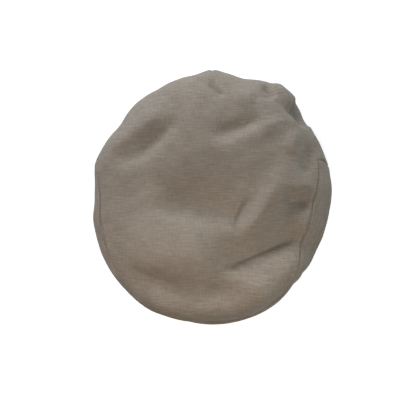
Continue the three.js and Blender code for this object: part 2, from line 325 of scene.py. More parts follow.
floor_material, tree, shader = new_material("white_paper_sweep")
shader.inputs["Base Color"].default_value = colour("F4F4F4")
shader.inputs["Roughness"].default_value = 0.9
shader.inputs["Emission Color"].default_value = colour("FFFFFF")
shader.inputs["Emission Strength"].default_value = floor_glow
floor_mesh = bpy.data.meshes.new("floor")
corners = [(x * floor_half, y * floor_half, 0) for x, y in ((-1, -1), (1, -1), (1, 1), (-1, 1))]
floor_mesh.from_pydata(corners, [], [(0, 1, 2, 3)])
floor_mesh.materials.append(floor_material)
floor = bpy.data.objects.new("floor", floor_mesh)
bpy.context.scene.collection.objects.link(floor)
floor.visible_diffuse = False
print("floor", 2 * floor_half, "m wide")


# %% [markdown]
# ## Linen
# Linen is a plain weave of flax yarn. Flax is spun unevenly, so the yarns have slubs: thick, slightly paler
# or darker stretches some centimetres long, more of them in the weft. Dyed taupe, it is matt with a faint
# sheen from the fibre ends. The pattern follows the UV map, which is the flat cut of each panel in metres.

# %% Linen
def threads(tree, uv, length, width, seed):
    """Noise drawn out along u by length and across it by width, in metres: the slubs of one set of yarns."""
    scaled = add(tree, "ShaderNodeMapping", {"Vector": uv, "Scale": (1 / length, 1 / width, 1)})
    scaled.inputs["Location"].default_value = (seed, seed, 0)
    noise = add(tree, "ShaderNodeTexNoise", {"Vector": scaled.outputs[0], "Scale": 1, "Detail": 2})
    return noise.outputs["Fac"]


def weave(tree, uv, pitch):
    """A plain weave: up where the weft lies over the warp and down where it dives under it."""
    axes = add(tree, "ShaderNodeSeparateXYZ", {"Vector": uv})
    yarns = []
    for axis in "XY":
        turn = add(tree, "ShaderNodeMath", {0: axes.outputs[axis], 1: np.pi / pitch}, operation="MULTIPLY")
        yarns.append(add(tree, "ShaderNodeMath", {0: turn.outputs[0]}, operation="SINE").outputs[0])
    return add(tree, "ShaderNodeMath", {0: yarns[0], 1: yarns[1]}, operation="MULTIPLY").outputs[0]


def linen_material(name, dark, middle, light):
    material, tree, shader = new_material(name)
    uv = add(tree, "ShaderNodeUVMap", uv_map="cut").outputs["UV"]
    weft = threads(tree, uv, 14 * mm, 1.2 * mm, 3)
    warp = threads(tree, uv, 1.2 * mm, 8 * mm, 11)
    cloud = threads(tree, uv, 45 * mm, 45 * mm, 7)
    yarns = add(tree, "ShaderNodeMix", {"Factor": 0.38, "A": weft, "B": warp})
    mixed = add(tree, "ShaderNodeMix", {"Factor": 0.16, "A": yarns.outputs[0], "B": cloud})
    ramp = add(tree, "ShaderNodeValToRGB", {"Fac": mixed.outputs[0]})
    ramp.color_ramp.elements[0].position = 0.36
    ramp.color_ramp.elements[0].color = colour(dark)
    ramp.color_ramp.elements[1].position = 0.64
    ramp.color_ramp.elements[1].color = colour(light)
    ramp.color_ramp.elements.new(0.5).color = colour(middle)
    tree.links.new(ramp.outputs["Color"], shader.inputs["Base Color"])
    pitch = 1.1 * mm  # twice the real spacing of the yarns, so that it shows
    yarn_height = {0: weave(tree, uv, pitch), 1: 0.35, 2: mixed.outputs[0]}
    height = add(tree, "ShaderNodeMath", yarn_height, operation="MULTIPLY_ADD")
    bump = add(tree, "ShaderNodeBump", {"Height": height.outputs[0], "Strength": 0.7, "Distance": 0.35 * mm})
    tree.links.new(bump.outputs["Normal"], shader.inputs["Normal"])
    rough = add(tree, "ShaderNodeMapRange", {"Value": mixed.outputs[0], "To Min": 0.95, "To Max": 0.8})
    tree.links.new(rough.outputs["Result"], shader.inputs["Roughness"])
    shader.inputs["Sheen Weight"].default_value = 0.12
    shader.inputs["Sheen Roughness"].default_value = 0.5
    shader.inputs["Specular IOR Level"].default_value = 0.25
    return material


outer_linen = linen_material("taupe_linen", "898075", "988F82", "A69E91")
print("linen with", len(outer_linen.node_tree.nodes), "nodes")


def dress(tree, shader, tone, dark, light, stops, height, strength, depth, roughness, sheen=0.0):
    """The finish of a plain material: a colour ramp over tone, a bump of height, roughness and sheen."""
    ramp = add(tree, "ShaderNodeValToRGB", {"Fac": tone})
    for element, stop, hex_code in zip(ramp.color_ramp.elements, stops, (dark, light)):
        element.position, element.color = stop, colour(hex_code)
    bump = add(tree, "ShaderNodeBump", {"Height": height, "Strength": strength, "Distance": depth})
    tree.links.new(ramp.outputs["Color"], shader.inputs["Base Color"])
    tree.links.new(bump.outputs["Normal"], shader.inputs["Normal"])
    shader.inputs["Roughness"].default_value = roughness
    shader.inputs["Sheen Weight"].default_value = sheen


def ridges(tree, distance, pitch):
    """Even ridges along a distance, from 0 to 1, one for each pitch."""
    turn = add(tree, "ShaderNodeMath", {0: distance, 1: 2 * np.pi / pitch}, operation="MULTIPLY")
    wave = add(tree, "ShaderNodeMath", {0: turn.outputs[0]}, operation="SINE")
    return add(tree, "ShaderNodeMapRange", {"Value": wave.outputs[0], "From Min": -1}).outputs[0]


# %% [markdown]
# ## The crown's skin
# The crown is a dome in two curves: v runs from the axis (0) over the top to the widest line (1), and then
# in and down to the rim (2). Worn cloth isn't that even. So the skin adds, in this order, an outline that
# bulges and flattens, a crown that has slipped a little to one side, a sag where nothing holds it up, the
# folds, and the seams. All panels are cut from this one skin, so they meet exactly at their seams.

# %% The crown as a smooth dome
peak_corner = 66
peak_corner_width = 2 * mm
front_lift = 12 * mm
peak_depth = 3.8 * mm
cover_share = 0.74


def peak_width(angle):
    share = np.cos(np.minimum(from_front(angle) / peak_corner, 1) * np.pi / 2)
    return peak_corner_width + (peak_length - peak_corner_width) * share**0.33


def peak_middle(angle, v):
    """The middle of the peak's board: v is 0 at the head and 1 at the front edge."""
    radius = opening(angle, behind_band) + v * peak_width(angle)
    rear = front_lift * front_share(angle, peak_corner)
    edge = 8 * mm * front_share(angle, 48)
    dome = 3 * mm * front_share(angle, peak_corner) * np.sin(np.pi * np.clip(v, 0, 1))
    return around(angle, radius, peak_depth / 2 + rear + (edge - rear) * v + dome)


def peak_top(angle, radius):
    v = (radius - opening(angle, behind_band)) / peak_width(angle)
    return peak_middle(angle, np.clip(v, 0, 0.93))[..., 2] + peak_depth / 2


# How far the cloth's outline stands out from an even ellipse, at angles from the front, in millimetres.
OUTLINE = [
    (0, -1), (11, 0), (21, 0), (28, -2.5), (38, -4), (46, -1.5), (60, -0.7), (75, 0), (90, 1), (105, 0),
    (120, -1), (130, 4), (140, 6.5), (150, 1.5), (162, -4.5), (172, -3), (180, -0.5), (190, -3.5), (210, -5.5),
    (222, -3.5), (240, -5.5), (252, -2), (261, 2), (272, -0.5), (282, 0), (292, 4), (310, 7), (330, 7), (348, 3),
]  # fmt: skip


def outline_offset(angle):
    """The outline's bulges, as a smooth curve that closes on itself."""
    a = np.array([p[0] for p in OUTLINE], float)
    r = np.array([p[1] for p in OUTLINE], float)
    wrapped_a = np.concatenate([a[-2:] - 360, a, a[:3] + 360])
    wrapped_r = np.concatenate([r[-2:], r, r[:3]])
    fine = through(np.stack([wrapped_a, wrapped_r], 1), 600)
    return np.interp(np.asarray(angle) % 360, fine[:, 0], fine[:, 1]) * mm


def crown_rim(angle):
    return opening(angle, behind_band + hem) + cover_share * (peak_width(angle) - peak_corner_width)


def crown_rim_height(angle):
    past = from_front(angle) - peak_corner
    rear = (peak_depth + gap) * (1 - smooth(past, 4, 12))
    outside = crown_rim(angle)
    front = np.maximum(peak_top(angle, outside - hem), peak_top(angle, outside)) + gap
    return np.where(past >= 0, rear, front)


def dome(angle, v, height, widest, widest_height, rim, rim_height, fullness, shoulder=0.62):
    upper, lower = np.clip(v, 0, 1), np.clip(v - 1, 0, 1)
    handle = fullness * widest
    tilted = height - 0.1 * handle * np.cos(np.radians(angle))
    r1 = bezier(0, handle, widest, widest, upper)
    z1 = bezier(height, tilted, widest_height + (height - widest_height) * shoulder, widest_height, upper)
    drop = rim_height - widest_height
    r2 = bezier(widest, widest, rim, rim, lower)
    z2 = bezier(widest_height, widest_height + 0.6 * drop, rim_height - 0.4 * drop, rim_height, lower)
    return around(angle, np.where(v <= 1, r1, r2), np.where(v <= 1, z1, z2))


def widest_line(angle):
    """How high the crown is widest."""
    return by_direction(angle, 21 * mm, 30 * mm, 37 * mm)


def crown_dome(angle, v):
    angle = np.asarray(angle, float)
    widest = reach(angle, crown_width, crown_length, crown_y) + outline_offset(angle)
    fullness = by_direction(angle, 0.74, 0.66, 0.62)
    shoulder = by_direction(angle, 0.8, 0.68, 0.62)
    rim = crown_rim(angle)
    rim_height = crown_rim_height(angle)
    return dome(angle, v, axis_height, widest, widest_line(angle), rim, rim_height, fullness, shoulder)


print(f"crown {2 * crown_width:.3f} by {2 * crown_length:.3f} m, its top {axis_height:.3f} m up")


# %% [markdown]
# ## Folds
# A fold in cloth is a line with a depth and a width on each side. A crease is sharp along its line, like a
# paper fold; a roll is round. Each fold here is given as a few points seen from above, in
# millimetres, and fades out at both ends. The crown's folds start where the cloth has slumped: behind the
# stiff front roll, over the sweatband at the sides, and at the back where the cap was picked up.

# %% Folds
# kind, height (up is positive), width to the left of the line, width to its right, points of the line
FOLDS = [
    # the front roll and the long soft valley behind it
    ("roll", -6.5, 10, 11, [(-97, -54), (-83, -72), (-59, -86), (-35, -93), (-11, -95), (9, -92), (27, -84)]),
    ("roll", 7.5, 10, 12, [(-94, -78), (-68, -102), (-34, -115), (0, -116), (30, -112), (56, -100), (80, -82)]),
    # the big swelling over the wearer's left eye, and the sharp valley that it ends in
    ("roll", 11.5, 15, 13, [(20, -98), (44, -95), (64, -85), (82, -71), (102, -53)]),
    ("crease", -17.0, 24, 7, [
        (-20, -86), (0, -80), (20, -73), (36, -67), (52, -60), (67, -54), (81, -48), (95, -44), (110, -40),
    ]),
    # the crest in front of the middle, and the hollow behind it
    ("roll", 9.0, 34, 24, [(-102, -46), (-60, -58), (-22, -60), (14, -52)]),
    ("roll", -9.0, 24, 12, [(-72, -1), (-40, -11), (-8, -15), (20, -16), (44, -9)]),
    # the short crease in the middle and the ridge beside it
    ("crease", -3.8, 6, 4, [(40, 2), (29, -17), (21, -40)]),
    ("roll", 7.0, 15, 9, [(82, 46), (64, 12), (50, -12), (40, -32), (32, -56)]),
    # the hollow near the side seam, and the bumps round it
    ("crease", -10.0, 7, 17, [(70, 0), (82, -2), (94, -3), (108, -8)]),
    ("roll", 2.0, 10, 12, [(70, -21), (86, -23), (106, -28)]),
    ("roll", 3.0, 6, 5, [(72, 12), (89, 12), (107, 9)]),
    # the folds over the wearer's left temple
    ("roll", -8.0, 8, 6, [(90, 20), (97, 33), (104, 46), (112, 60)]),
    ("roll", 3.5, 8, 6, [(76, 43), (83, 57), (88, 73)]),
    ("roll", 2.8, 6, 18, [(24, 58), (44, 68), (62, 76), (79, 79), (92, 70), (100, 55)]),
    ("roll", -6.0, 9, 8, [(-6, 61), (14, 67), (36, 75), (58, 83)]),
    ("crease", -2.0, 4, 3, [(28, 101), (42, 104), (56, 104), (68, 100), (77, 91), (87, 79)]),
    # the dented corner at the back
    ("roll", -13.0, 10, 10, [(84, 104), (95, 90), (107, 76)]),
    ("roll", 5.0, 5, 4, [(61, 121), (69, 113), (77, 103), (88, 89)]),
    ("roll", 4.0, 6, 10, [(18, 110), (33, 104), (46, 104)]),
    ("roll", -5.0, 5, 5, [(51, 119), (58, 111), (66, 103)]),
    # the pinch at the end of the dart
    ("crease", -5.0, 4, 4, [(-6, 126), (0, 119), (5, 112), (10, 108), (15, 109)]),
    ("roll", -1.6, 6, 6, [(-9, 107), (-9, 95), (-11, 85)]),
    # the fold over the wearer's right temple
    ("roll", -4.6, 8, 8, [(-34, 88), (-46, 71), (-62, 56), (-82, 42), (-114, 32)]),
    ("roll", 5.8, 8, 10, [(-43, 103), (-57, 86), (-76, 71), (-97, 56), (-121, 41)]),
    ("crease", -1.8, 3, 3, [(88, -80), (98, -77), (110, -71)]),
]  # fmt: skip
print(len(FOLDS), "folds")


def fold_height(kind, height, left, right, points, x, y):
    """How far one fold lifts the cloth at each place x, y, all in millimetres."""
    line = through(points, 12 * len(points))
    along = np.gradient(line, axis=0)
    along /= np.linalg.norm(along, axis=1, keepdims=True)
    near = np.full(x.shape, np.inf)
    index = np.zeros(x.shape, int)
    for i, (px, py) in enumerate(line):
        d = np.hypot(x - px, y - py)
        closer = d < near
        near[closer], index[closer] = d[closer], i
    dx, dy = x - line[index, 0], y - line[index, 1]
    on_left = along[index, 0] * dy - along[index, 1] * dx > 0
    scaled = near / np.where(on_left, left, right)
    ends = np.minimum(index, len(line) - 1 - index) / (0.35 * len(line))
    fade = smooth(ends, 0, 1)
    if kind == "crease":
        return height * fade * np.exp(-(np.sqrt(scaled**2 + 0.02) - 0.14))
    return height * fade * np.exp(-(scaled**2))


def fold_field(x, y):
    """The height of all folds at x, y in metres."""
    total = np.zeros(x.shape)
    for kind, height, left, right, points in FOLDS:
        low = np.min(points, axis=0) - 3.5 * max(left, right)
        high = np.max(points, axis=0) + 3.5 * max(left, right)
        near = (x / mm > low[0]) & (x / mm < high[0]) & (y / mm > low[1]) & (y / mm < high[1])
        if near.any():
            total[near] += fold_height(kind, height, left, right, points, x[near] / mm, y[near] / mm)
    return total * mm


def sag(x, y):
    """The broad sag of the top, where nothing holds it up."""
    bowl = -6.0 * np.exp(-(((x / mm + 8) / 62) ** 2) - ((y / mm - 8) / 42) ** 2)
    return bowl * mm


# %% [markdown]
# Below the widest line the cloth is gathered into the rim, and it hangs in soft upright waves. These are
# sums of a few sine waves round the head, with wavelengths that don't repeat, and so is the fine
# unevenness of cloth that has been handled.

# %% Waves and unevenness
def waves(angle, v):
    """Upright waves between the widest line and the rim, strongest at the back."""
    a = np.radians(angle)
    shape = np.sin(9 * a + 0.7) + 0.8 * np.sin(14 * a + 2.1) + 0.6 * np.sin(23 * a + 4.0) + 0.4 * np.sin(37 * a)
    where = smooth(v, 0.85, 1.3) * (1 - smooth(v, 1.75, 1.98)) * by_direction(angle, 0.25, 0.8, 1)
    return 0.8 * mm * shape * where


def unevenness(p):
    """Small dents and swellings, 15 to 60 mm across."""
    x, y, z = p[..., 0] / mm, p[..., 1] / mm, p[..., 2] / mm
    total = np.zeros(x.shape)
    rng = np.random.default_rng(12)
    for wavelength in (60, 47, 38, 30, 24, 19, 15):
        for _ in range(3):
            direction = unit(rng.normal(size=3))
            phase = rng.uniform(0, 2 * np.pi)
            along = (x * direction[0] + y * direction[1] + z * direction[2]) * 2 * np.pi / wavelength
            total += wavelength / 60 * np.sin(along + phase)
    return 0.16 * mm * total


# %% [markdown]
# ## Seams
# A seam pulls both panels down into a narrow groove, and its stitches draw the cloth into small puckers.
# The seam allowance underneath lifts the side panel a little beside the groove. The side seams run from the
# peak over the front roll and along the sides to a squared corner; the dart runs up the middle of the back.

# %% Seams
SIDE_SEAM = [
    (7, 1.94), (10, 1.6), (13, 1.25), (16.5, 1), (22, 0.905), (31, 0.825), (46, 0.73), (63, 0.665), (82, 0.69),
    (100, 0.79),
]  # fmt: skip
seam_line = through(SIDE_SEAM, 400)
seam_start, seam_end = SIDE_SEAM[0][0], SIDE_SEAM[-1][0]
corner_v = SIDE_SEAM[-1][1]
slip = 6 * mm
seam_width = 1.2 * mm
seam_side = 0.11  # a side seam only draws on cloth this near to its middle


def seam_v(angle):
    return np.interp(from_front(angle), seam_line[:, 0], seam_line[:, 1])


def sheared(angle, v):
    """The rear edge of a side panel leans forwards on its way down, so angles near it turn a little."""
    lean = 4.5 * smooth(v, corner_v, 1.05) * np.exp(-(((from_front(angle) - seam_end) / 20) ** 2))
    return angle - lean * np.where((np.asarray(angle) % 360) < 180, 1, -1)


def slumped(angle, v):
    """The dome with its outline, slip and sag, but without folds."""
    p = crown_dome(sheared(angle, v), v)
    top = 1 - smooth(v, 0.62, 1.0)
    p[..., 0] -= slip * top
    p[..., 2] += sag(p[..., 0], p[..., 1]) * (1 - smooth(v, 0.8, 1.1))
    return p


def seam_path(side):
    """A side seam and the panel's rear edge, as points on the slumped dome."""
    rear = np.linspace(corner_v, 2, 120)[1:]
    angles = np.concatenate([seam_line[:, 0], np.full(len(rear), float(seam_end))])
    return slumped(side * angles, np.concatenate([seam_line[:, 1], rear]))


SEAM_PATHS = [seam_path(1), seam_path(-1)]
dart_v = np.linspace(0.87, 1.98, 120)
DART = slumped(np.full(dart_v.shape, 180.0), dart_v)


def nearest(p, path):
    """How far each point is from the path, and how far along the path its nearest point is."""
    lengths = np.concatenate([[0], np.cumsum(np.linalg.norm(np.diff(path, axis=0), axis=1))])
    best = np.full(p.shape[:-1], np.inf)
    along = np.zeros(p.shape[:-1])
    for q, s in zip(path, lengths):
        d = np.linalg.norm(p - q, axis=-1)
        closer = d < best
        best[closer], along[closer] = d[closer], s
    return best, along


def puckers(distance, along):
    ripple = np.sin(along / mm * 1.25) + 0.7 * np.sin(along / mm * 0.83 + 1.3)
    return 0.14 * mm * ripple * np.exp(-((distance / (4.5 * mm)) ** 2))


def seam_relief(p, outside_seam):
    """The grooves, puckers and seam allowance at each point. outside_seam is true on a side panel."""
    total = np.zeros(p.shape[:-1])
    for path in SEAM_PATHS:
        close = np.abs(p[..., 0] - path[:, 0].mean()) < seam_side
        distance, along = np.full(total.shape, 1.0), np.zeros(total.shape)
        distance[close], along[close] = nearest(p[close], path)
        total -= 1.4 * mm * np.exp(-((distance / seam_width) ** 2))
        lift = np.exp(-(((distance - 3 * mm) / (2 * mm)) ** 2))
        total += (0.3 if outside_seam else 0.1) * mm * lift + puckers(distance, along)
    distance, along = nearest(p, DART)
    total -= 1.5 * mm * np.exp(-((distance / seam_width) ** 2)) - puckers(distance, along)
    return total


def crown_out(angle, v):
    """The way out of the dome. At the pole it is taken a little way off it, where the ring has a size."""
    step, dv = 0.05, 0.004
    v = np.maximum(v, 0.01)
    down = crown_dome(angle, v + dv) - crown_dome(angle, v - dv)
    return unit(np.cross(down, crown_dome(angle + step, v) - crown_dome(angle - step, v)))


def crown_skin(angle, v, outside_seam=False):
    """The crown's outer face, with everything that the cloth does."""
    angle, v = np.broadcast_arrays(np.asarray(angle, float), np.asarray(v, float))
    p = slumped(angle, v)
    out = crown_out(angle, v)
    lift = fold_field(p[..., 0], p[..., 1]) * (1 - smooth(v, 1.0, 1.2)) + waves(angle, v)
    lift += unevenness(p) * (1 - smooth(v, 1.7, 1.98)) + seam_relief(p, outside_seam)
    return p + out * lift[..., None]


print("seam points:", len(SEAM_PATHS[0]), "on each side and", len(DART), "on the dart")

# %% [markdown]
# ## Crown top panel
# One piece of linen goes from the peak over the head to the back rim. It is made of two grids: the top, out
# to the side seams, and the apron that goes on down the back behind the side panels. Rows lie closer
# together towards the seam, where the cloth turns down within a few millimetres. The rim ends a little
# early, because its turned hem is 3 mm thick and has a round edge that rests on the table.

# %% Crown top panel
def toward_end(count, share=0.06, fine=12):
    """Steps from 0 to 1, with the last share of the way in fine steps."""
    return np.concatenate([np.linspace(0, 1 - share, count - fine)[:-1], np.linspace(1 - share, 1, fine + 1)])


def patch(angles, start, end, steps):
    """The angle and the v at each point of a grid that runs from start to end in v at each angle."""
    start = np.broadcast_to(np.asarray(start, float), angles.shape)[:, None]
    end = np.broadcast_to(np.asarray(end, float), angles.shape)[:, None]
    v = start + (end - start) * steps
    return np.broadcast_to(angles[:, None], v.shape), v


def rim_end(angle):
    """The last v, so that the round edge of the hem ends at the rim and not below it."""
    drop = widest_line(angle) - crown_rim_height(angle)
    return 2 - (hem / 2 + 0.2 * mm) / (1.2 * drop)


def thickness(v):
    return linen + (hem - linen) * smooth(v, 1.7, 1.85)


def close_pole(outer, out):
    """Brings the first row of a dome together in one point with one normal."""
    outer[:, 0] = outer[:, 0].mean(0)
    out[:, 0] = unit(out[:, 1].mean(0))


def cloth_faces(angle, v, outside_seam=False, ring=False):
    """The outer and the inner face of a stretch of the crown."""
    outer = crown_skin(angle, v, outside_seam)
    out = face_normals(outer, ring)
    if ring:
        close_pole(outer, out)
    return outer, outer - out * thickness(v)[..., None]


def flat_cut(points, angle, start=0.0):
    """UVs that lay the cloth out flat: as far from the axis as the cloth is long, in the same direction."""
    steps = np.linalg.norm(np.diff(points, axis=1), axis=-1)
    first = np.broadcast_to(np.asarray(start, float), points.shape[:1])[:, None]
    length = np.concatenate([first, first + np.cumsum(steps, axis=1)], axis=1)
    turn = np.radians(angle)
    return np.stack([length * np.sin(turn), -length * np.cos(turn)], -1), length


seam_gap = 0.0016
half = np.concatenate([
    np.linspace(0, seam_start, 6)[:-1],
    np.linspace(seam_start, 22, 24)[:-1],
    np.linspace(22, seam_end, 78)[:-1],
    np.linspace(seam_end, 180, 76),
])  # fmt: skip
columns = np.concatenate([half, 360 - half[-2:0:-1]])
away = from_front(columns)
seam_edge = np.where(away <= seam_end, seam_v(columns) - seam_gap, corner_v)
edge_v = np.where(away < seam_start, rim_end(columns), seam_edge)
top_angle, top_v = patch(columns, 0, edge_v, toward_end(92))
outer, inner = cloth_faces(top_angle, top_v, ring=True)
cut, length = flat_cut(slumped(top_angle, top_v), top_angle)

behind = away >= seam_end - 1e-6
back_columns = columns[behind]
back_angle, back_v = patch(back_columns, corner_v, rim_end(back_columns), np.linspace(0, 1, 48))
back_outer, back_inner = cloth_faces(back_angle, back_v)
back_outer[:, 0], back_inner[:, 0] = outer[behind, -1], inner[behind, -1]
back_cut, back_length = flat_cut(slumped(back_angle, back_v), back_angle, length[behind, -1])

top = Body()
top.grid(outer, cut, ring=True)
top.grid(inner[:, ::-1], cut[:, ::-1], ring=True)
seamed = np.flatnonzero(away <= seam_end + 1e-6)
seamed = np.roll(seamed, -np.flatnonzero(np.diff(seamed) > 1)[0] - 1)
lip = lip_rows(outer[seamed, -1], inner[seamed, -1], unit(outer[seamed, -1] - outer[seamed, -2]))
top.grid(np.stack(lip, 1), cut[seamed, -1:])
top.sheet(back_outer, back_inner, back_cut, edges="end and sides")
crown_top = top.make("crown_top_cloth", outer_linen, "outer_linen", "crown_top_panel")


def cloth_area(piece):
    """Half of the surface of a closed sheet, which is the area of the cloth in it."""
    area = np.empty(len(piece.data.polygons))
    piece.data.polygons.foreach_get("area", area)
    return float(area.sum() / 2)


panel_long = float(length[0, -1] + back_length[len(back_columns) // 2, -1])
print(f"top panel {panel_long:.3f} m long, {cloth_area(crown_top):.4f} square metres of cloth")

# %% [markdown]
# ## Side panels
# Each side panel is a crescent. It starts as a point beside the peak, is widest behind the temple and ends
# in the squared corner. It is cut from the same skin, from just past the seam down to the rim.

# %% Side panels
side_pieces = {}
for side, name, node in ((1, "side_cloth_left", "side_panel_left"), (-1, "side_cloth_right", "side_panel_right")):
    panel_angle = side * np.concatenate([
        np.linspace(seam_start + 0.1, 22, 26)[:-1],
        np.linspace(22, seam_end - 0.1, 96),
    ])[::side]  # fmt: skip
    panel_steps = 1 - toward_end(54)[::-1]
    panel_grid = patch(panel_angle, seam_v(panel_angle) + seam_gap, rim_end(panel_angle), panel_steps)
    outer, inner = cloth_faces(*panel_grid, outside_seam=True)
    along = np.cumsum(np.linalg.norm(np.diff(outer[:, 0], axis=0, prepend=outer[:1, 0]), axis=1))
    down = np.cumsum(np.linalg.norm(np.diff(outer, axis=1, prepend=outer[:, :1]), axis=2), axis=1)
    cut = np.stack(np.broadcast_arrays(along[:, None], down), -1)
    panel = Body()
    panel.sheet(outer, inner, cut)
    side_pieces[side] = panel.make(name, outer_linen, "outer_linen", node)
    side_size = (float(along[-1]), float(down.max()))
print(f"side panel cut {side_size[0]:.3f} by {side_size[1]:.3f} m")

# %% [markdown]
# ## Peak
# The peak is a short curved board covered in the same linen. The covers lie flat on the board and close in
# on each other past its edge, so that the front edge is a round lip. Only this lip shows from above, as the
# crown's front roll hangs over the rest.

# %% Peak covers
peak_stretch = 3.2 * mm


def peak_skin(angle, v, up):
    """The upper (up = 1) or lower (up = -1) face of the covered peak."""
    push = peak_stretch * np.exp(-(((angle - 30) / 15) ** 2))
    radius = opening(angle, behind_band) + v * (peak_width(angle) + push)
    p = around(angle, radius, peak_middle(angle, v)[..., 2])
    rounding = np.sqrt(np.clip(1 - (np.clip(v - 0.92, 0, 1) / 0.08) ** 2, 0, 1))
    p[..., 2] += up * (0.25 * mm + (peak_depth / 2 - 0.25 * mm) * rounding)
    return p


peak_columns = peak_corner * np.sin(np.radians(np.linspace(-90, 90, 150)))
peak_v = np.broadcast_to(np.sin(np.linspace(0, np.pi / 2, 46)), (len(peak_columns), 46))
peak_angle = np.broadcast_to(peak_columns[:, None], peak_v.shape)
cover_linen = 0.8 * mm
peak_pieces = {}
for up, name, node in ((1, "peak_upper_cloth", "peak_upper_cover"), (-1, "peak_under_cloth", "peak_under_cover")):
    outer = peak_skin(peak_angle, peak_v, up)
    dents = unevenness(outer) * 0.5
    outer[..., 2] += dents
    inner = peak_skin(peak_angle, peak_v, up)
    inner[..., 2] = np.where(
        up > 0,
        np.maximum(outer[..., 2] - cover_linen, peak_middle(peak_angle, peak_v)[..., 2] + 0.1 * mm),
        np.minimum(outer[..., 2] + cover_linen, peak_middle(peak_angle, peak_v)[..., 2] - 0.1 * mm),
    )
    cut = outer[..., :2].copy()
    body = Body()
    body.sheet(outer, inner, cut)
    peak_pieces[up] = body.make(name, outer_linen, "outer_linen", node)

# %% [markdown]
# ## Canvas under the front roll
# A crescent of stiffened canvas behind the linen gives the front roll its body. It can't be seen in a
# finished cap, but it follows the linen, so it is made from the same skin, a little further in.

# %% Canvas
def woven_material(name, dark, light, pitch, roughness, bump_height):
    """A plain weave without slubs, read from the UV map in metres."""
    material, tree, shader = new_material(name)
    uv = add(tree, "ShaderNodeUVMap", uv_map="cut").outputs["UV"]
    over = weave(tree, uv, pitch)
    high = add(tree, "ShaderNodeMapRange", {"Value": over, "From Min": -1}).outputs[0]
    cloud = threads(tree, uv, 12 * mm, 9 * mm, 5)
    blend = add(tree, "ShaderNodeMix", {"Factor": 0.5, "A": high, "B": cloud}).outputs[0]
    dress(tree, shader, blend, dark, light, (0.3, 0.7), high, 0.6, bump_height, roughness)
    return material


canvas = 0.6 * mm
loose_gap = 1.2 * mm
canvas_white = woven_material("stiffened_canvas", "C9C2B2", "E0DACC", 1.2 * mm, 0.9, 0.3 * mm)
canvas_angle, canvas_v = patch(np.linspace(-44, 44, 60), 0.77, 1.48, np.linspace(0, 1, 40))
linen_face = slumped(canvas_angle, canvas_v)
linen_out = face_normals(linen_face)
low_folds = np.minimum(fold_field(linen_face[..., 0], linen_face[..., 1]), 0) * (1 - smooth(canvas_v, 1.0, 1.2))
lift = low_folds - linen - loose_gap - 0.6 * mm
outer = linen_face + linen_out * lift[..., None]
cut, _ = flat_cut(linen_face, canvas_angle)
interlining = Body()
interlining.sheet(outer, outer - linen_out * canvas, cut)
front_canvas = interlining.make("front_canvas", canvas_white, "canvas", "front_interlining")

# %% [markdown]
# ## Lining
# The lining is a smaller dome of smooth cloth, with a seam between its top and its sides. It is sewn in
# only at the rim, so its top hangs loosely under the crown and drops wherever the crown has sagged onto it.
# A twill shows as fine slanting lines.

# %% Lining cloth
def twill_material(name, dark, light, pitch):
    material, tree, shader = new_material(name)
    uv = add(tree, "ShaderNodeUVMap", uv_map="cut").outputs["UV"]
    axes = add(tree, "ShaderNodeSeparateXYZ", {"Vector": uv})
    slant = add(tree, "ShaderNodeMath", {0: axes.outputs["X"], 1: axes.outputs["Y"]}, operation="ADD")
    high = ridges(tree, slant.outputs[0], pitch)
    cloud = threads(tree, uv, 30 * mm, 18 * mm, 2)
    blend = add(tree, "ShaderNodeMix", {"Factor": 0.6, "A": high, "B": cloud}).outputs[0]
    dress(tree, shader, blend, dark, light, (0.25, 0.75), high, 0.4, 0.15 * mm, 0.55, sheen=0.1)
    return material


# real twill lines are 0.4 mm apart
lining_twill = twill_material("viscose_twill_lining", "54493D", "6A5E50", 1.5 * mm)
lining_cloth = 0.5 * mm
pad_depth = 1.8 * mm
behind_pad = band_cloth + 2 * gap + pad_depth
lining_seam_v = 0.74
lining_side_v = (0.746, 1.99)


def front_rise(angle):
    return front_lift * front_share(angle, peak_corner)


def lining_skin(angle, v):
    """The lining's outer face: its own dome, dropped and shifted with the crown above it."""
    angle, v = np.broadcast_arrays(np.asarray(angle, float), np.asarray(v, float))
    widest = reach(angle, head_width + 16 * mm, head_length + 7 * mm, head_y)
    high = by_direction(angle, 37 * mm, 37 * mm, 43 * mm)
    rim = opening(angle, behind_pad + gap + lining_cloth)
    p = dome(angle, v, axis_height - 5 * mm, widest, high, rim, front_rise(angle) + 11 * mm, 0.6)
    above = smooth(p[..., 2], 34 * mm, 62 * mm)
    p[..., 0] -= slip * above
    x, y = p[..., 0], p[..., 1]
    drop = sag(x, y) + 1.1 * np.minimum(fold_field(x, y), 0) + 0.8 * np.minimum(unevenness(p), 0)
    p[..., 2] += (drop - 0.6 * mm) * above
    a = np.radians(angle)
    ripple = np.sin(7 * a + 1) + 0.7 * np.sin(12 * a + 2) + 0.5 * np.sin(19 * a)
    slack = 0.7 * mm * ripple * smooth(v, 0.9, 1.2) * (1 - smooth(v, 1.7, 1.95))
    inside = np.array([0, axis_y, 0.03])
    return p - unit(p - inside) * np.abs(slack)[..., None]


def lining_piece(name, node, columns, v_start, v_end, count, ring=False):
    angle, v = patch(columns, v_start, v_end, np.linspace(0, 1, count))
    outer = lining_skin(angle, v)
    out = face_normals(outer, ring)
    if ring:
        close_pole(outer, out)
    body = Body()
    cut = flat_cut(outer, angle)[0]
    body.sheet(outer, outer - out * lining_cloth, cut, ring, "end" if ring else "all")
    return body.make(name, lining_twill, "lining_cloth", node)


lining_columns = np.linspace(0, 360, 181)[:-1]
lining_pieces = [
    lining_piece("lining_top_cloth", "lining_top", lining_columns, 0, lining_seam_v, 50, ring=True),
    lining_piece("lining_cloth_left", "lining_side_left", np.linspace(0.3, 179.7, 110), *lining_side_v, 60),
    lining_piece("lining_cloth_right", "lining_side_right", np.linspace(180.3, 359.7, 110), *lining_side_v, 60),
]

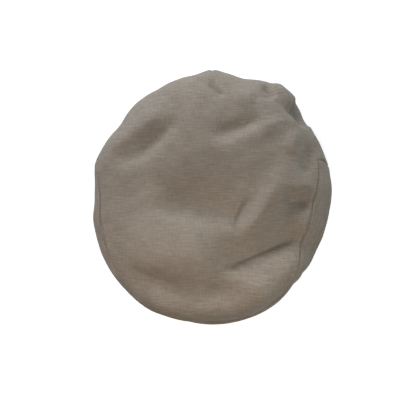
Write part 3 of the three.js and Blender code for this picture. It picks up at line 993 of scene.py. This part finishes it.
# %% [markdown]
# ## Sweatband
# A strip of ribbed cotton goes round inside the rim, where it lies on the forehead. Its top edge stands
# free, so it waves a little, and the ribs run up and down so that the strip can stretch along its length.

# %% Sweatband
def rib_material(name, dark, light, pitch):
    material, tree, shader = new_material(name)
    uv = add(tree, "ShaderNodeUVMap", uv_map="cut").outputs["UV"]
    axes = add(tree, "ShaderNodeSeparateXYZ", {"Vector": uv})
    rib = ridges(tree, axes.outputs["X"], pitch)
    fibre = threads(tree, uv, 1.5 * mm, 6 * mm, 4)
    blend = add(tree, "ShaderNodeMix", {"Factor": 0.45, "A": rib, "B": fibre}).outputs[0]
    dress(tree, shader, blend, dark, light, (0.2, 0.8), blend, 0.8, 0.3 * mm, 0.95, sheen=0.2)
    return material


def strip(out, low, high, depth, angles, count, wave=0.0):
    """An upright strip out from the head, from low to high above the rim, as outer and inner faces."""
    angle, v = patch(angles, 0, 1, np.linspace(0, 1, count))
    a = np.radians(angle)
    ripple = np.abs(np.sin(6 * a + 0.6) + 0.6 * np.sin(11 * a + 2)) * smooth(1 - v, 0.35, 1)
    radius = opening(angle, out) - wave * ripple
    z = front_rise(angle) + high + (low - high) * v
    cut = np.stack([a * head_radius, z], -1)
    return around(angle, radius, z), around(angle, radius - depth, z), cut


head_radius = 0.09
rib_cotton = rib_material("ribbed_cotton", "62594D", "7C7264", 1.8 * mm)
all_round = np.linspace(180.2, 539.8, 300)
band = Body()
band.sheet(*strip(band_cloth, 1.0 * mm, 29.6 * mm, band_cloth, all_round, 30, wave=0.8 * mm))
band_strip = band.make("sweatband_strip", rib_cotton, "band_cotton", "sweatband")
band_round = float(np.linalg.norm(np.diff(around(all_round, opening(all_round, 0), 0.0), axis=0), axis=1).sum())
print(f"sweatband {band_round:.3f} m long")

# %% [markdown]
# ## Forehead pad
# Behind the band, over the forehead, is a thin pad of foam with a knitted face. It is thickest in its
# middle and is pressed thin at its edges, where it is sewn to the band.

# %% Forehead pad
def foam_material(name, dark, light):
    material, tree, shader = new_material(name)
    place = add(tree, "ShaderNodeTexCoord").outputs["Object"]
    voronoi = add(tree, "ShaderNodeTexVoronoi", {"Vector": place, "Scale": 1 / (1.2 * mm)})
    cells = voronoi.outputs["Distance"]
    dress(tree, shader, cells, dark, light, (0, 1), cells, 0.5, 0.2 * mm, 0.95)
    return material


pad_foam = foam_material("knit_faced_foam", "2B2B2B", "454545")
pad_angles = np.linspace(-49.5, 49.5, 80)
outer, inner, cut = strip(band_cloth + gap + pad_depth, 15 * mm, 27.6 * mm, pad_depth, pad_angles, 24)
u = np.linspace(-1, 1, 80)[:, None] ** 10 + np.linspace(-1, 1, 24)[None] ** 4
full = (0.25 + 0.75 * np.sqrt(np.clip(1 - u, 0, 1)))[..., None]
middle = (outer + inner) / 2
pad = Body()
pad.sheet(middle + (outer - middle) * full, middle + (inner - middle) * full, cut)
forehead = pad.make("forehead_foam", pad_foam, "pad_foam", "forehead_pad")

# %% [markdown]
# ## Labels
# Three blank ribbons of satin: one in the crown of the lining, one at the back of the band and one in the
# side of the lining. Satin shines along its floats, so it gets a sheen and a lower roughness.

# %% Labels
def satin_material(name, dark, light):
    material, tree, shader = new_material(name)
    uv = add(tree, "ShaderNodeUVMap", uv_map="cut").outputs["UV"]
    floats = threads(tree, uv, 14 * mm, 0.7 * mm, 9)
    dress(tree, shader, floats, dark, light, (0.3, 0.7), floats, 0.25, 0.1 * mm, 0.38, sheen=0.15)
    return material


label_satin = satin_material("woven_satin_ribbon", "D8D0BF", "EEE8DB")
label_cloth = 0.4 * mm
label_gap = 0.35 * mm
lining_height = bpy.data.objects["lining_top_cloth"]


def lining_point(x, y):
    """The inner face of the lining over x, y: the first thing met on the way up from below."""
    hit, place, _, _ = lining_height.ray_cast(Vector((x, y, 0)), Vector((0, 0, 1)))
    return place if hit else Vector((x, y, axis_height))


label_x = np.linspace(-24, 24, 40) * mm
label_y = np.linspace(40, 10, 26) * mm
grid = np.array([[lining_point(x, y) for y in label_y] for x in label_x])
outer = grid - np.array([0, 0, label_gap])
maker = Body()
maker.sheet(outer, outer - np.array([0, 0, label_cloth]), grid[..., :2].copy())
maker_ribbon = maker.make("maker_ribbon", label_satin, "label_satin", "maker_label")

size_angles = np.linspace(196, 203, 16)
size = Body()
size.sheet(*strip(-gap, 12 * mm, 22 * mm, label_cloth, size_angles, 14))
size_ribbon = size.make("size_ribbon", label_satin, "label_satin", "size_label")

care_angle, care_v = patch(np.linspace(-99, -85, 20), 0.98, 1.5, np.linspace(0, 1, 30))
lining_face = lining_skin(care_angle, care_v)
lining_out = face_normals(lining_face)
outer = lining_face - lining_out * (lining_cloth + 0.4 * mm)
care = Body()
care.sheet(outer, outer - lining_out * label_cloth, flat_cut(lining_face, care_angle)[0])
care_ribbon = care.make("care_ribbon", label_satin, "label_satin", "care_label")

# %% [markdown]
# ## Stitches
# Every seam is a lock stitch: the thread comes out of the cloth, lies over it for two or three millimetres
# and dips back in. Each stitch could be modelled and placed by hand, but there are more than a thousand.
# They follow a path at an even pitch, so one Geometry Nodes tree makes them all. It cuts a path into steps,
# and sets an arched piece of thread on each, turned along the path and away from the cloth.

# %% Thread
def thread_material(name, dark, light, lay):
    """Polyester thread. Its plies are twisted together, which shows as fine slanting lines."""
    material, tree, shader = new_material(name)
    along = add(tree, "ShaderNodeAttribute", attribute_name="along").outputs["Fac"]
    turn = add(tree, "ShaderNodeAttribute", attribute_name="turn").outputs["Fac"]
    twist = add(tree, "ShaderNodeMath", {0: along, 1: 1 / lay, 2: turn}, operation="MULTIPLY_ADD")
    plies = ridges(tree, twist.outputs[0], 1)
    dress(tree, shader, plies, dark, light, (0, 1), plies, 0.5, 0.08 * mm, 0.5)
    return material


polyester = thread_material("twisted_polyester_thread", "40382E", "6B6051", 1.1 * mm)
print("thread with", len(polyester.node_tree.nodes), "nodes")


# %% Stitch tree
def stitch_tree():
    tree = bpy.data.node_groups.new("stitches_along_a_path", "GeometryNodeTree")
    socket = tree.interface.new_socket
    socket("Path", in_out="INPUT", socket_type="NodeSocketGeometry")
    for label in ("Pitch", "Stitch length", "Thread", "Arch"):
        socket(label, in_out="INPUT", socket_type="NodeSocketFloat")
    socket("Material", in_out="INPUT", socket_type="NodeSocketMaterial")
    socket("Stitches", in_out="OUTPUT", socket_type="NodeSocketGeometry")
    given = add(tree, "NodeGroupInput").outputs
    half = add(tree, "ShaderNodeMath", {0: given["Stitch length"], 1: 0.5}, operation="MULTIPLY").outputs[0]
    back = add(tree, "ShaderNodeMath", {0: half, 1: -1}, operation="MULTIPLY").outputs[0]
    under = add(tree, "ShaderNodeMath", {0: given["Thread"], 1: -0.5}, operation="MULTIPLY").outputs[0]
    start = add(tree, "ShaderNodeCombineXYZ", {"X": back, "Z": under}).outputs[0]
    middle = add(tree, "ShaderNodeCombineXYZ", {"Z": given["Arch"]}).outputs[0]
    end = add(tree, "ShaderNodeCombineXYZ", {"X": half, "Z": under}).outputs[0]
    arch = add(
        tree,
        "GeometryNodeCurveQuadraticBezier",
        {"Resolution": 5, "Start": start, "Middle": middle, "End": end},
    )
    place = add(tree, "GeometryNodeInputPosition").outputs[0]
    place_x = add(tree, "ShaderNodeSeparateXYZ", {"Vector": place}).outputs["X"]
    arch = add(
        tree,
        "GeometryNodeStoreNamedAttribute",
        {"Geometry": arch.outputs[0], "Name": "along", "Value": place_x},
        data_type="FLOAT",
    )
    radius = add(tree, "ShaderNodeMath", {0: given["Thread"], 1: 0.5}, operation="MULTIPLY").outputs[0]
    circle = add(tree, "GeometryNodeCurvePrimitiveCircle", {"Resolution": 6, "Radius": radius})
    round_it = add(tree, "GeometryNodeSplineParameter").outputs["Factor"]
    circle = add(
        tree,
        "GeometryNodeStoreNamedAttribute",
        {"Geometry": circle.outputs[0], "Name": "turn", "Value": round_it},
        data_type="FLOAT",
    )
    stitch = add(
        tree,
        "GeometryNodeCurveToMesh",
        {"Curve": arch.outputs[0], "Profile Curve": circle.outputs[0], "Fill Caps": True},
    )
    path = add(tree, "GeometryNodeMeshToCurve", {"Mesh": given["Path"]})
    steps = add(
        tree, "GeometryNodeResampleCurve", {"Curve": path.outputs[0], "Length": given["Pitch"]}, mode="LENGTH"
    )
    up = add(tree, "GeometryNodeInputNamedAttribute", {"Name": "up"}, data_type="FLOAT_VECTOR").outputs[0]
    ahead = add(tree, "GeometryNodeInputTangent").outputs[0]
    turned = add(
        tree,
        "FunctionNodeAxesToRotation",
        {"Primary Axis": up, "Secondary Axis": ahead},
        primary_axis="Z",
        secondary_axis="X",
    )
    row = add(
        tree,
        "GeometryNodeInstanceOnPoints",
        {"Points": steps.outputs[0], "Instance": stitch.outputs[0], "Rotation": turned.outputs[0]},
    )
    real = add(tree, "GeometryNodeRealizeInstances", {"Geometry": row.outputs[0]})
    done = add(tree, "GeometryNodeSetMaterial", {"Geometry": real.outputs[0], "Material": given["Material"]})
    add(tree, "NodeGroupOutput", {"Stitches": done.outputs[0]})
    return tree


STITCHES = stitch_tree()
print("stitch tree with", len(STITCHES.nodes), "nodes")


def stitch_row(name, paths, pitch, stitch_length, thickness, arch, *nodes):
    """Stitches along paths, each a pair of arrays: its points, and the way out of the cloth at each."""
    points = np.vstack([p for p, _ in paths])
    ups = np.vstack([np.broadcast_to(up, p.shape) for p, up in paths])
    edges, first = [], 0
    for p, _ in paths:
        edges += [(first + i, first + i + 1) for i in range(len(p) - 1)]
        first += len(p)
    mesh = bpy.data.meshes.new(name + "_path")
    mesh.from_pydata(points.tolist(), edges, [])
    mesh.attributes.new("up", "FLOAT_VECTOR", "POINT").data.foreach_set("vector", ups.astype(np.float32).ravel())
    piece = bpy.data.objects.new(name, mesh)
    bpy.context.scene.collection.objects.link(piece)
    modifier = piece.modifiers.new("stitches", "NODES")
    modifier.node_group = STITCHES
    sizes = {"Pitch": pitch, "Stitch length": stitch_length, "Thread": thickness, "Arch": arch}
    for item in STITCHES.interface.items_tree:
        if item.in_out == "INPUT" and item.name in sizes:
            modifier[item.identifier] = sizes[item.name]
        elif item.name == "Material":
            modifier[item.identifier] = polyester
    graph = bpy.context.evaluated_depsgraph_get()
    made = bpy.data.meshes.new_from_object(piece.evaluated_get(graph), depsgraph=graph)
    piece.modifiers.clear()
    piece.data = made
    made.name = name
    made.shade_smooth()
    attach(piece, "root")
    if nodes:
        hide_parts(*nodes)
    print(name, len(made.polygons), "faces")
    return piece


# %% Stitches of the side seams
SEAM_STITCH = (2.6 * mm, 2.2 * mm, 0.4 * mm, 0.25 * mm)  # pitch, length, thickness and arch
for side, name, node in (
    (1, "side_seam_stitches_left", "side_seam_thread_left"),
    (-1, "side_seam_stitches_right", "side_seam_thread_right"),
):
    rear_v = np.linspace(corner_v, 1.93, 70)[1:]
    path_angle = side * np.concatenate([seam_line[8:, 0], np.full(len(rear_v), float(seam_end))])
    path_v = np.concatenate([seam_line[8:, 1], rear_v])
    seam_bottom = crown_skin(path_angle, path_v)
    up = crown_out(path_angle, path_v)
    stitch_row(name, [(seam_bottom, up)], *SEAM_STITCH, node)

# %% Stitches of the dart
path_v = np.linspace(0.88, 1.9, 120)
path_angle = np.full(path_v.shape, 180.0)
dart_line = (crown_skin(path_angle, path_v), crown_out(path_angle, path_v))
stitch_row("back_dart_stitches", [dart_line], *SEAM_STITCH, "back_dart_thread")

# %% Stitches of the band, the peak and the label
band_angles = np.linspace(182, 538, 400)
band_out = around(band_angles, 1.0, 0.0) - around(band_angles, 0.0, 0.0)
band_line = around(band_angles, opening(band_angles, 0), front_rise(band_angles) + 5 * mm)
stitch_row("sweatband_stitches", [(band_line, -band_out)], 4 * mm, 3 * mm, 0.5 * mm, 0.6 * mm, "sweatband_thread")

edge_angles = np.linspace(-44, 44, 160)
from_edge = 1 - 2.6 * mm / peak_width(edge_angles)
peak_lines = []
for up in (1, -1):
    line = peak_skin(edge_angles, from_edge, up)
    line[..., 2] += unevenness(line) * 0.5
    peak_lines.append((line, np.array([0.0, 0.0, up])))
stitch_row("peak_edge_stitches", peak_lines, 3 * mm, 2.4 * mm, 0.45 * mm, 0.5 * mm, "peak_edge_thread")

label_ends = []
for x in (-22.6 * mm, 22.6 * mm):
    line = np.array([lining_point(x, y) for y in np.linspace(11.5, 38.5, 12) * mm])
    label_ends.append((line - np.array([0, 0, label_gap + label_cloth]), np.array([0.0, 0.0, -1.0])))
stitch_row("maker_label_stitches", label_ends, 2.6 * mm, 2 * mm, 0.35 * mm, 0.4 * mm)

# %% [markdown]
# ## The plain nodes that stay
# Two pieces keep the frame's own solids, as their shape is right and neither can be seen in a finished cap:
# the board inside the peak and the tape round the rim. Both get a material read from Object coordinates,
# because these solids have no UV map. The board is moulded sheet with a fine spark-eroded grain. The tape
# is a cotton twill.

# %% Board and tape
def solid_material(name, dark, light, grain, roughness, bump_height):
    material, tree, shader = new_material(name)
    place = add(tree, "ShaderNodeTexCoord").outputs["Object"]
    noise = add(tree, "ShaderNodeTexNoise", {"Vector": place, "Scale": 1 / grain, "Detail": 3})
    fine = noise.outputs["Fac"]
    dress(tree, shader, fine, dark, light, (0.35, 0.65), fine, 0.5, bump_height, roughness)
    return material


board_sheet = solid_material("moulded_polyethylene_board", "232323", "303030", 0.8 * mm, 0.5, 0.05 * mm)
twill_tape = solid_material("cotton_stay_tape", "C7C0B0", "DED8CA", 1.2 * mm, 0.9, 0.2 * mm)
bpy.data.objects["peak_board"].material_slots[0].material = board_sheet
bpy.data.objects["stay_tape"].material_slots[0].material = twill_tape
print("kept as they are: peak_board and stay_tape")

# %% [markdown]
# ## Cut sizes
# Each cloth piece is listed with the size that it was cut to: the width and length of the smallest
# rectangle round its flat pattern, and the pattern's own area where that isn't a rectangle. The crown,
# its sides and the lining are slack cloth that hangs from its seams. The peak's covers, the band and the
# ribbons are sewn down tight.

CUTS = [
    (crown_top, (0.29, 0.35), 0.078, "draped", ["front_canvas", "lining_top_cloth"]),
    (side_pieces[1], (0.083, 0.235), 0.0115, "hung", ["crown_top_cloth"]),
    (side_pieces[-1], (0.083, 0.235), 0.0115, "hung", ["crown_top_cloth"]),
    (peak_pieces[1], (0.1, 0.21), 0.0123, "stretched", ["peak_board"]),
    (peak_pieces[-1], (0.1, 0.21), 0.0123, "stretched", ["peak_board"]),
    (front_canvas, (0.07, 0.15), 0.0064, "hung", ["crown_top_cloth"]),
    (lining_pieces[0], (0.18, 0.21), 0.03, "hung", ["lining_cloth_left", "lining_cloth_right"]),
    (lining_pieces[1], (0.08, 0.31), 0.0133, "hung", ["sweatband_strip"]),
    (lining_pieces[2], (0.08, 0.31), 0.0133, "hung", ["sweatband_strip"]),
    (band_strip, (0.03, 0.57), None, "stretched", ["stay_tape"]),
    (maker_ribbon, (0.031, 0.048), None, "stretched", ["lining_top_cloth"]),
    (size_ribbon, (0.01, 0.012), None, "stretched", ["sweatband_strip"]),
    (care_ribbon, (0.018, 0.024), None, "stretched", ["lining_cloth_right"]),
]
for piece, flat, area, held, rests_on in CUTS:
    print(f"{piece.name}: cut {area or flat[0] * flat[1]:.5f}, made {cloth_area(piece):.5f} square metres")
